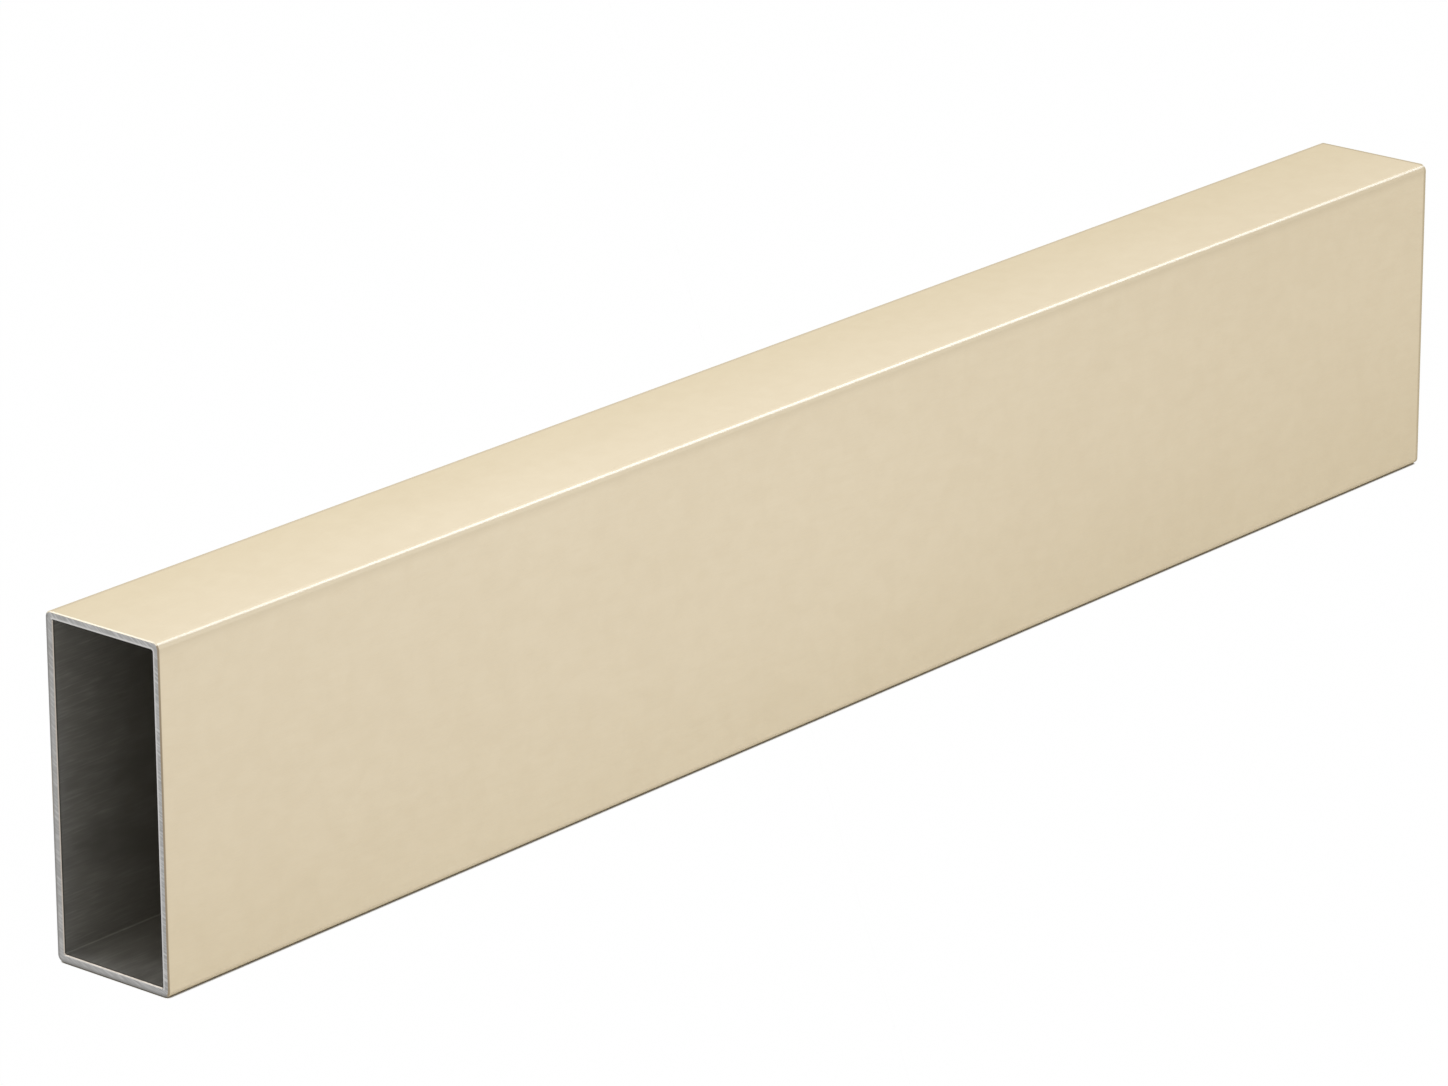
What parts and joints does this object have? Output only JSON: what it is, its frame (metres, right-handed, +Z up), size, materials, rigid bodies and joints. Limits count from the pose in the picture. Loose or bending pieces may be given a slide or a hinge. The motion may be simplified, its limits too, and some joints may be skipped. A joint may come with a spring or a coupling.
{
  "type": "pergola purlin",
  "caption": "Hollow rectangular metal purlin with rounded long edges, a satin cream finish outside and bare sawn ends, set on edge to carry a pergola roof.",
  "frame": {"origin": "centre of the purlin's underside, at floor level", "axes": "+X along the purlin's length, +Y across its width, +Z up through its depth"},
  "size_m": [0.69, 0.05, 0.12],
  "materials": {
    "coated_aluminium": "satin"
  },
  "bodies": {
    "root": {"purlin_tube": "coated_aluminium"}
  },
  "joints": []
}
